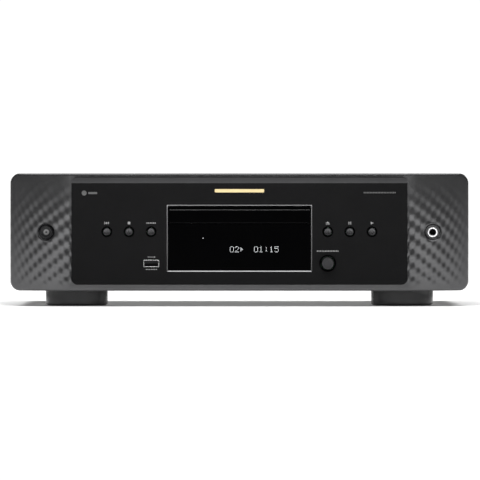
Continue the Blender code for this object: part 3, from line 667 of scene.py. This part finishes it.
def build_plate():
    """The proud plate, its window, the holes of its controls, black rings of painted shade round them, and a
    painted highlight on its upper slope.
    """
    front, back = PLATE_LOW.y, PLATE_HIGH.y
    x, y = (PLATE_LOW.x, PLATE_HIGH.x), (front - 5, back + 5)
    plate = prism("plate_skin", plate_profile(), x, "X")
    corners = rounded_rectangle(x, (PLATE_LOW.z, PLATE_HIGH.z), PLATE_CORNER, 16)
    trim(plate, prism("corners", corners, y, "Y"))

    half, z = WINDOW
    tools = [prism("window", rounded_rectangle((-half, half), z, WINDOW_RADIUS, 6), y, "Y")]
    tools.append(window_slope(half, z, front))
    rings = {node: BUTTON_SHADE_RING for node in button_nodes()}
    rings["phones_level_knob"] = KNOB_SHADE_RING
    for node, (hole, reach) in rings.items():
        place = (middle(node).x, middle(node).z)
        tools.append(rod("hole", hole, y, place, "Y", 64))
        tools.append(rod("seat", reach + 0.05, (y[0], front + 1.3), place, "Y", 64))
        ring = [(hole, front + 0.1), (reach, front + 0.1), (reach, front + 1.25), (hole, front + 1.25)]
        # a gloss black ring round each hole: painted shade where the gap round a button or the knob falls
        # dark
        attach(turned(node + "_surround", ring, place, "Y", 64), "centre_plate", GLOSS_BLACK_AND_SHADE)
    usb_low, usb_high = box_mm("usb_shell")
    around = ((usb_low.x - 0.4, usb_high.x + 0.4), (usb_low.z - 0.4, usb_high.z + 0.4))
    tools.append(prism("hole", rounded_rectangle(*around, 0.6, 4), y, "Y"))
    cut(plate, *tools)
    shade(plate, 12)
    soften(plate, 0.25, 2, 50)
    stand_for(plate, "centre_plate", PANEL)
    # the upper slope's faces take the lighter paint, a painted highlight
    plate.data.materials.append(PANEL_SLOPE_HIGHLIGHT)
    for face in plate.data.polygons:
        if CREASE_Z < face.center.z / MM < SLOPE_TOP_Z and face.normal.y < -0.5:
            face.material_index = 1


def window_slope(half, z, front):
    """A cutter for the chamfer round the window."""
    points, faces, ends = [], [], []
    for y in (front - 1, front + WINDOW_CHAMFER + 1):
        spread = front + WINDOW_CHAMFER - y
        spans = ((-half - spread, half + spread), (z[0] - spread, z[1] + spread))
        ends.append([(u, y, v) for u, v in rounded_rectangle(*spans, WINDOW_RADIUS, 6)])
    add_prism(points, faces, *ends)
    return mesh_object("slope", points, faces)


# ---------------------------------------------------------------- signs on the front

SIGN_Z = 80.2  # height of the signs over the buttons
KNOB_WORD_Z = 53.3
USB_SIGN_Z = 47.6
USB_WORD_Z = 35.7
LABEL_Z = 109  # height of the dim labels beside the gold bar
GOLD_BAR = ((-23.6, 23.7), (109.6, 112.8))  # its ends and its heights
LAMP = (-34.9, 65.7)
DIGITS_TOP = 57.9
DOT_PITCH = 0.83
DOT_HALF = 0.19
DIGIT_STEP = 4.95
FONT = {
    "0": ".###. #...# #...# #...# #...# #...# .###.",
    "1": "..#.. .##.. ..#.. ..#.. ..#.. ..#.. .###.",
    "2": ".###. #...# ....# ...#. ..#.. .#... #####",
    "5": "##### #.... ####. ....# ....# #...# .###.",
    ">": "..... .#... .##.. .###. .##.. .#... .....",
    ":": "..... ..#.. ..#.. ..... ..#.. ..#.. .....",
}


def plates(name, outlines, front, thickness):
    """Several flat plates in one piece, each from an outline of (x, z) points."""
    points, faces = [], []
    for outline in outlines:
        ends = [[(x, y, z) for x, z in outline] for y in (front, front + thickness)]
        add_prism(points, faces, *ends)
    return mesh_object(name, points, faces)


def square(x, z, half_x, half_z=None):
    """The outline of a square, or of a rectangle when both half sizes are given."""
    half_z = half_z or half_x
    return [(x - half_x, z - half_z), (x + half_x, z - half_z),
            (x + half_x, z + half_z), (x - half_x, z + half_z)]


def dashes(x, z, half, half_z):
    """A row of plain dashes in place of a printed word."""
    count = round(2 * half / 1.5)
    step = 2 * half / count
    return [square(x - half + step * (i + 0.5), z, step * 0.34, half_z) for i in range(count)]


def build_display():
    """The display's digits, made of square dots, and a small lamp."""
    glass = box_mm("display_window")[0].y
    dots = []
    for text, left in (("02", -9.4), (">", 0.1), ("01:15", 13.8)):
        for place, letter in enumerate(text):
            for row, line in enumerate(FONT[letter].split()):
                for column, mark in enumerate(line):
                    if mark == "#":
                        x = left + DIGIT_STEP * place + DOT_PITCH * (column + 0.5)
                        dots.append(square(x, DIGITS_TOP - DOT_PITCH * (row + 0.5), DOT_HALF))
    attach(plates("display_dots", dots, glass - 0.06, 0.05), "display_window", LIT)
    lamp = rod("standby_lamp", 0.32, (glass - 0.06, glass - 0.01), LAMP, "Y", 24)
    attach(lamp, "display_window", LIT)


def build_signs():
    """The small symbols over the controls, and plain bars and dashes in place of words."""
    face, z = PLATE_LOW.y, SIGN_Z
    previous, stop, source = [middle(n).x for n in ("previous_button", "stop_button", "input_button")]
    eject, pause, play = [middle(n).x for n in ("eject_button", "pause_button", "play_button")]
    marks = [square(previous - 2.2, z, 0.25, 1.3)]
    for tip in (previous - 1.8, previous + 0.2):
        marks += [[(tip, z), (tip + 1.8, z - 1.3), (tip + 1.8, z + 1.3)]]
    marks += [square(stop, z, 1.2)]
    marks += dashes(source, z, 4.7, 0.6)
    marks += [[(eject - 1.9, z - 0.2), (eject + 1.9, z - 0.2), (eject, z + 1.5)]]
    marks += [square(eject, z - 1, 1.9, 0.3)]
    marks += [square(pause - 0.85, z, 0.42, 1.35), square(pause + 0.85, z, 0.42, 1.35)]
    marks += [[(play - 1.2, z - 1.4), (play + 1.5, z), (play - 1.2, z + 1.4)]]
    knob, usb = middle("phones_level_knob"), middle("usb_shell")
    marks += dashes(knob.x, KNOB_WORD_Z, 10.6, 0.6) + dashes(usb.x, USB_WORD_Z, 5.6, 0.4)
    marks += [square(usb.x, USB_SIGN_Z, 3, 0.22)]
    marks += [disc(usb.x + 3, USB_SIGN_Z, 0.7), disc(usb.x - 3, USB_SIGN_Z, 0.5)]
    attach(plates("control_symbols", marks, face - 0.06, 0.05), "centre_plate", PRINT)

    bar = rounded_rectangle(*GOLD_BAR, 0.8, 4)
    attach(plates("gold_bar", [bar], face - 0.1, 0.09), "centre_plate", GOLD_PRINT)
    dim = dashes(134.5, LABEL_Z + 0.4, 15.5, 0.7)
    dim += [rounded_rectangle((-145, -136.5), (LABEL_Z - 1, LABEL_Z + 1), 0.4, 3), disc(-149, LABEL_Z, 2.4)]
    attach(plates("dim_labels", dim, face - 0.06, 0.05), "centre_plate", DIM_PRINT)


def disc(x, z, radius):
    """The outline of a round sign."""
    return arc((x, z), radius, 0, 345, 23)


# ---------------------------------------------------------------- controls and sockets

CAP_RADIUS = 3.4  # of the six round buttons
CAP_EDGE = 0.45
POWER_RADIUS = 6.1
RING_HOLE = 6.55  # inner radius of the black rings in the recesses
SHELL_WALL = 0.4  # of the USB socket's steel frame


def build_buttons():
    """Six round caps, each with a rounded edge, a shallow dish and a dimple."""
    for node in button_nodes():
        low, high = box_mm(node)
        place = (middle(node).x, middle(node).z)
        edge = arc((CAP_RADIUS - CAP_EDGE, low.y + CAP_EDGE), CAP_EDGE, 0, -90, 5)
        profile = [(0, high.y), (2.6, high.y), (2.6, low.y + 5)]
        profile += [(CAP_RADIUS, low.y + 5), (CAP_RADIUS, low.y + 0.5)]
        profile += [*edge, (2.75, low.y + 0.12), (1.5, low.y + 0.3), (1.1, low.y + 0.32)]
        profile += [(0.95, low.y + 0.55), (0, low.y + 0.6)]
        stand_for(turned(node + "_cap", profile, place, "Y", 72, 50), node, BUTTON)


def build_rings():
    """The black rings in the two recesses, and the bright nut of the headphone socket."""
    for node in ("power_button_ring", "phones_socket_ring"):
        low, high = box_mm(node)
        place = (middle(node).x, middle(node).z)
        outer, inner = (high.z - low.z) / 2, RING_HOLE
        profile = [(inner, high.y), (outer, high.y), (outer, low.y + 0.4), (outer - 0.25, low.y + 0.1)]
        profile += [(outer - 0.6, low.y), (inner + 0.25, low.y + 0.1), (inner, low.y + 0.4)]
        stand_for(turned(node + "_trim", profile, place, "Y", 96), node, BLACK_RING_AND_RIM_SHADE)
    low, high = box_mm("headphone_jack_nut")
    place = (middle("headphone_jack_nut").x, middle("headphone_jack_nut").z)
    front = low.y
    profile = [(3.3, high.y), (4.9, high.y), (4.9, front + 0.8)]
    profile += [*arc((4.3, front + 0.7), (0.6, 0.7), 0, -90, 5)]
    profile += [*arc((3.8, front + 0.5), (0.5, 0.5), 270, 180, 5)]
    stand_for(turned("jack_nut_trim", profile, place, "Y", 96), "headphone_jack_nut", CHROME)


def build_power_button():
    """A dished cap with a metal mark in its middle and a thin metal ring round its edge."""
    low, high = box_mm("power_button")
    place = (middle("power_button").x, middle("power_button").z)
    front = low.y
    rim = arc((POWER_RADIUS - 0.8, front + 0.8), 0.8, 0, -90, 6)
    profile = [(0, high.y), (3, high.y), (3, high.y - 3), (POWER_RADIUS, high.y - 5)]
    profile += [(POWER_RADIUS, front + 0.8), *rim]
    profile += [(4.9, front + 0.05), (4, front + 0.35), (3.1, front + 0.55), (2.8, front + 0.5)]
    profile += [(2.7, front + 0.75), (1, front + 0.8), (0.9, front + 0.95), (0, front + 1)]
    stand_for(turned("power_cap", profile, place, "Y", 96, 40), "power_button", SOFT_BLACK)
    ring = [(0.95, front + 0.72), (2.7, front + 0.66), (2.7, front + 0.9), (0.95, front + 0.9)]
    attach(turned("power_mark", ring, place, "Y", 64), "power_button", MARK_METAL_AND_HIGHLIGHT)
    edge = [(5.1, front - 0.02), (5.85, front + 0.5), (5.6, front + 0.7), (5.0, front + 0.2)]
    attach(turned("power_edge", edge, place, "Y", 96), "power_button", MARK_METAL_AND_HIGHLIGHT)


def build_knob():
    """The level knob with its pointer groove."""
    low, high = box_mm("phones_level_knob")
    place = (middle("phones_level_knob").x, middle("phones_level_knob").z)
    radius, front = (high.z - low.z) / 2 - 0.4, low.y
    edge = arc((radius - 0.8, front + 0.8), 0.8, 0, -90, 6)
    profile = [(0, high.y), (3, high.y), (3, front + 13.5), (radius, front + 13.5), (radius, front + 0.8)]
    profile += [*edge, (radius - 1.6, front + 0.12), (2, front + 0.35), (0, front + 0.4)]
    knob = turned("level_knob", profile, place, "Y", 96, 40)
    notch = block("pointer", (place[0] - 0.35, place[0] + 0.35), (front - 2, front + 0.75),
                  (place[1] + 2, place[1] + 8))
    cut(knob, notch)
    shade(knob, 40)
    stand_for(knob, "phones_level_knob", KNOB)


def inside_wall(x, z, wall, radius):
    """The outline inside a wall of even thickness, with round corners."""
    return rounded_rectangle((x[0] + wall, x[1] - wall), (z[0] + wall, z[1] - wall), radius, 4)


def build_usb():
    """The socket's steel frame, its lining and its contact block."""
    low, high = box_mm("usb_shell")
    x, z = (low.x, high.x), (low.z, high.z)
    shell = prism("usb_frame", rounded_rectangle(x, z, 0.6, 5), (low.y, high.y), "Y")
    cut(shell, prism("mouth", inside_wall(x, z, SHELL_WALL, 0.3), (low.y - 5, high.y - 0.8), "Y"))
    soften(shell, 0.12, 2, 40)
    stand_for(shell, "usb_shell", STEEL_FRAME)
    cup = inside_wall(x, z, SHELL_WALL + 0.02, 0.28)
    lining = prism("usb_lining", cup, (low.y + 0.5, high.y - 0.85), "Y")
    cut(lining, prism("mouth", inside_wall(x, z, SHELL_WALL + 0.3, 0.2), (low.y - 5, high.y - 1.2), "Y"))
    attach(lining, "usb_shell", SOFT_BLACK)
    low, high = box_mm("usb_tongue")
    tongue = block("usb_contact_block", (low.x, high.x), (low.y, high.y), (low.z, high.z))
    soften(tongue, 0.2, 2)
    stand_for(tongue, "usb_tongue", SOFT_BLACK)


def build_feet():
    """Turned feet with a rounded rim below, a ring pad in a groove and a screw."""
    for node in [n for n in SLOTS if n.endswith("_foot")]:
        low, high = box_mm(node)
        radius, place = (high.x - low.x) / 2, (middle(node).x, middle(node).y)
        top = high.z
        profile = [(0, top), (radius - 0.6, top), *arc((radius - 0.6, top - 0.6), 0.6, 90, 0, 4)]
        profile += [*arc((radius - 0.4, 3.4), (0.4, 3.0), 0, -40, 4)]
        profile += [*arc((radius - 3.4, 3.2), 3.2, -8, -90, 10)]
        profile += [(15, 0), (14.4, 0.6), (9, 0.6), (8.6, 4), (0, 4)]
        stand_for(turned(node + "_body", profile, place, "Z", 128, 40), node, FOOT)
        pad = [(9.4, 0.55), (14, 0.55), (14, 0.1), (9.4, 0.1)]
        attach(turned(node + "_pad", pad, place, "Z", 96), node, RUBBER)
        attach(screw(node + "_screw", place, "Z", 3.9, -1, 3.4), node, STEEL)


def screw(name, centre, axis, face, toward, radius):
    """A pan head with a cross recess, standing out from a face along an axis."""
    dome = arc((0, face), (radius, toward * radius * 0.55), 9, 75, 5)
    profile = [(0, face), (radius, face), *dome, (0, face + toward * radius * 0.55)]
    head = turned(name, profile, centre, axis, 40, 50)
    tip = sorted((face + toward * radius * 0.28, face + toward * radius))
    u, v = centre
    wide, thin = radius * 0.55, radius * 0.12
    for across, up in ((wide, thin), (thin, wide)):
        outline = [(u - across, v - up), (u + across, v - up), (u + across, v + up), (u - across, v + up)]
        cut(head, prism("slot", outline, tip, axis))
    shade(head, 45)
    return head


def build_tray_front():
    """The glossy flap in front of the tray, with a thin bright strip along its top, a painted highlight of
    its lit top edge.
    """
    low, high = box_mm("tray_front")
    flap = block("tray_flap", (low.x, high.x), (low.y, high.y), (low.z, high.z))
    soften(flap, 0.45, 3)
    stand_for(flap, "tray_front", GLOSS_BLACK_AND_SHADE)
    wide, y = (low.x + 0.6, high.x - 0.6), (low.y - 0.05, low.y + 0.1)
    # a flat bright strip just under the top edge: painted highlight of the edge catching light from above
    line = prism("tray_edge_painted_highlight", rounded_rectangle(wide, (high.z - 0.7, high.z - 0.45), 0.1, 3), y, "Y")
    attach(line, "tray_front", MARK_METAL_AND_HIGHLIGHT)
    lower = prism("tray_lower_line", rounded_rectangle(wide, (low.z + 0.5, low.z + 0.8), 0.1, 3), y, "Y")
    attach(lower, "tray_front", PANEL)


# ---------------------------------------------------------------- case and back

ROUND_SOCKETS = {"analog_jack_left": WHITE_RING, "analog_jack_right": RED_RING, "coax_jack": ORANGE_RING}
INLET_FLOOR = 182  # how deep the mains inlet's mouth reaches


def build_cover():
    """The bent sheet cover with round-ended vents and its side screws."""
    low, high = box_mm("top_cover")
    half, top, bottom = high.x, high.z, low.z
    shell = []
    for inset, radius in ((0, 2.5), (1, 1.5)):
        right = arc((half - inset - radius, top - inset - radius), radius, 90, 0, 10)
        right.append((half - inset, bottom))
        side = [(-x, z) for x, z in reversed(right)] + right
        shell += side if inset == 0 else side[::-1]
    cover = prism("cover_sheet", shell, (low.y, high.y), "Y")
    for side in (-1, 1):
        for x in range(96, 192, 8):
            ends = arc((side * x, 121.5), 1.5, 0, 180, 8) + arc((side * x, 48.5), 1.5, 180, 360, 8)
            cut(cover, prism("vent", ends, (top - 5, top + 5), "Z"))
    shade(cover, 32)
    stand_for(cover, "top_cover", CASE)
    for side, name in ((-1, "left"), (1, "right")):
        for place, y in (("front", -95), ("rear", 150)):
            piece = screw("%s_%s_screw" % (name, place), (y, 34), "X", side * half, side, 3.2)
            attach(piece, "top_cover", STEEL)


def build_rear_panel():
    """The rear sheet with its openings and screws."""
    low, high = box_mm("rear_panel")
    panel = block("panel", (low.x, high.x), (low.y, high.y), (low.z, high.z))
    y = (low.y - 10, high.y + 10)
    tools = []
    for node, wide, tall in (("mains_inlet", 28, 21), ("digital_output", 11, 11)):
        at = middle(node)
        x, z = (at.x - wide / 2, at.x + wide / 2), (at.z - tall / 2, at.z + tall / 2)
        tools.append(block("way", x, y, z))
    for node in ("coax_jack", "analog_jack_left", "analog_jack_right"):
        tools.append(rod("way", 5, y, (middle(node).x, middle(node).z), "Y", 48))
    cut(panel, *tools)
    soften(panel, 0.3, 2)
    stand_for(panel, "rear_panel", CASE)
    face = high.y
    for x in (-206, 0, 206):
        for z, row in ((24, "low"), (118, "high")):
            piece = screw("rear_screw_%s_%d" % (row, x + 206), (x, z), "Y", face, 1, 2.6)
            attach(piece, "rear_panel", STEEL)


def build_rear_sockets():
    """The gold socket barrels and the coloured rings round them."""
    face = box_mm("rear_panel")[1].y
    for node, colour in ROUND_SOCKETS.items():
        place = (middle(node).x, middle(node).z)
        low_y, high_y = (corner.y for corner in box_mm(node))
        profile = [(1.7, high_y), (3.6, high_y), (4.1, high_y - 0.5), (4.1, face + 2.8), (6.4, face + 2.8)]
        profile += [(7, face + 2.2), (7, face + 0.3), (4.6, face + 0.3), (4.6, low_y), (0, low_y)]
        profile += [(0, high_y - 10), (1.7, high_y - 10)]
        stand_for(turned(node + "_barrel", profile, place, "Y", 64), node, GOLD)
        ring = [(7.15, face + 0.05), (9, face + 0.05), (9, face + 1.4), (8.6, face + 1.8), (7.15, face + 1.8)]
        attach(turned(node + "_colour", ring, place, "Y", 64), node, colour)


def build_rear_labels():
    """Plain bars over the sockets and in the middle of the rear panel."""
    face = box_mm("rear_panel")[1].y
    labels = []
    for node in ("digital_output", "coax_jack", "analog_jack_right", "analog_jack_left"):
        x = middle(node).x
        labels.append(rounded_rectangle((x - 9, x + 9), (74.5, 76), 0.3, 3))
    labels.append(rounded_rectangle((-60, -2), (40, 44), 0.4, 3))
    labels.append(rounded_rectangle((-60, -20), (48, 50), 0.4, 3))
    x = middle("mains_inlet").x
    labels.append(rounded_rectangle((x - 14, x + 14), (78, 80), 0.3, 3))
    attach(plates("rear_labels", labels, face + 0.02, 0.06), "rear_panel", PRINT)


def build_inlet():
    """The mains inlet's flanged housing, its blades and its screws."""
    low, high = box_mm("mains_inlet")
    x, z = middle("mains_inlet").x, middle("mains_inlet").z
    flange = rounded_rectangle((low.x, high.x), (low.z, high.z), 2.5, 6)
    panel_face = box_mm("rear_panel")[1].y
    inlet = prism("inlet_body", flange, (panel_face + 0.3, high.y), "Y")
    weld(inlet, block("housing", (x - 13.6, x + 13.6), (low.y, high.y - 1), (50, 70)))
    mouth = [(x - 12, 52), (x + 12, 52), (x + 12, 63), (x + 7, 68), (x - 7, 68), (x - 12, 63)]
    cut(inlet, prism("mouth", mouth, (INLET_FLOOR, high.y + 6), "Y"))
    soften(inlet, 0.35, 2)
    stand_for(inlet, "mains_inlet", INNER_BLACK)
    for i, (dx, dz) in enumerate(((0, 2), (-7, -2), (7, -2))):
        blade = block("inlet_blade_%d" % (i + 1), (x + dx - 1, x + dx + 1), (INLET_FLOOR + 0.05, 196),
                      (z + dz - 2, z + dz + 2))
        soften(blade, 0.4, 2)
        attach(blade, "mains_inlet", STEEL)
    for side, name in ((-1, "left"), (1, "right")):
        piece = screw("inlet_screw_%s" % name, (x + side * 20, z), "Y", high.y, 1, 2.4)
        attach(piece, "mains_inlet", STEEL)


# ---------------------------------------------------------------- pieces kept from the frame


def finish_kept_nodes():
    """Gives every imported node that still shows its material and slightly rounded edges."""
    for name, node in frame["nodes"].items():
        # the tray surround takes the near-black gloss in place of its own slot's finish: painted shade in the
        # gap round the tray
        paint(node, GLOSS_BLACK_AND_SHADE if name == "tray_surround" else SLOT_MATERIAL[SLOTS[name]])
        if node.hide_render:
            continue
        low, high = box_mm(name)
        size = min(high - low)
        soften(node, min(0.35, size / 8), 2, 40)


# ---------------------------------------------------------------- studio

WORLD_DIM = 0.04  # strength of the surroundings, which look white only to the camera
FLOOR_RADIUS = 15000
SUN_ANGLE = 75  # a wide soft sky light, in degrees
SUN_TILT = -12
CAMERA_PLACE = Vector((0.00055, -6.2, 0.092))
CAMERA_TARGET = Vector((0.00055, -0.21, 0.064))
LENS_LENGTH = 469
SENSOR = 36


def set_stage():
    """A wide pale floor, soft light from above, a pale world and the camera."""
    floor = prism("studio_floor", arc((0, 0), FLOOR_RADIUS, 0, 354, 59), (-20, 0), "Z")
    paint(floor, surface("studio_white", (0.86, 0.86, 0.86), 0.75, 0.0, 0.01, Specular_IOR_Level=0.1))

    sky = bpy.data.lights.new("overhead", "SUN")
    sky.energy = 3.9
    sky.angle = math.radians(SUN_ANGLE)
    above = bpy.data.objects.new("overhead", sky)
    above.rotation_euler = (math.radians(SUN_TILT), 0, 0)
    bpy.context.scene.collection.objects.link(above)
    soft_light("behind_low", (0, 1.6, 0.5), (0, 0, 0), (2.4, 0.5), 14)
    soft_light("front_floor", (0, -0.75, 0.4), (0, -0.7, 0), (0.5, 0.4), 8, glossy=False)
    soft_light("below", (0, 0, 0.012), (0, 0, 0), (0.4, 0.38), 0.08, glossy=False)

    world = bpy.data.worlds.new("studio_world")
    bpy.context.scene.world = world
    world.use_nodes = True
    tree = world.node_tree
    background = tree.nodes["Background"]
    background.inputs["Color"].default_value = (1, 1, 1, 1)
    dim = tree.nodes.new("ShaderNodeMapRange")
    dim.inputs["To Min"].default_value = WORLD_DIM
    dim.inputs["To Max"].default_value = 1.05
    tree.links.new(tree.nodes.new("ShaderNodeLightPath").outputs["Is Camera Ray"], dim.inputs["Value"])
    tree.links.new(dim.outputs["Result"], background.inputs["Strength"])
    bpy.context.scene.view_settings.view_transform = "Standard"

    camera = bpy.data.objects.new("camera", bpy.data.cameras.new("camera"))
    bpy.context.scene.collection.objects.link(camera)
    camera.location = CAMERA_PLACE
    camera.rotation_euler = (CAMERA_TARGET - CAMERA_PLACE).to_track_quat("-Z", "Y").to_euler()
    camera.data.lens = LENS_LENGTH
    camera.data.sensor_width = SENSOR
    camera.data.clip_end = 60
    bpy.context.scene.camera = camera


def soft_light(name, place, target, size, power, glossy=True):
    """An area light; one that isn't glossy lights surfaces without showing in them."""
    data = bpy.data.lights.new(name, "AREA")
    data.shape = "RECTANGLE"
    data.size, data.size_y = size
    data.energy = power
    light = bpy.data.objects.new(name, data)
    light.location = place
    light.rotation_euler = (Vector(target) - Vector(place)).to_track_quat("-Z", "Y").to_euler()
    light.visible_camera = False
    light.visible_glossy = glossy
    bpy.context.scene.collection.objects.link(light)


build_fascia()
build_plate()
build_window_trim()
build_display()
build_signs()
build_buttons()
build_power_button()
build_knob()
build_rings()
build_usb()
build_tray_front()
build_feet()
build_cover()
build_rear_panel()
build_rear_sockets()
build_rear_labels()
build_inlet()
finish_kept_nodes()
set_stage()
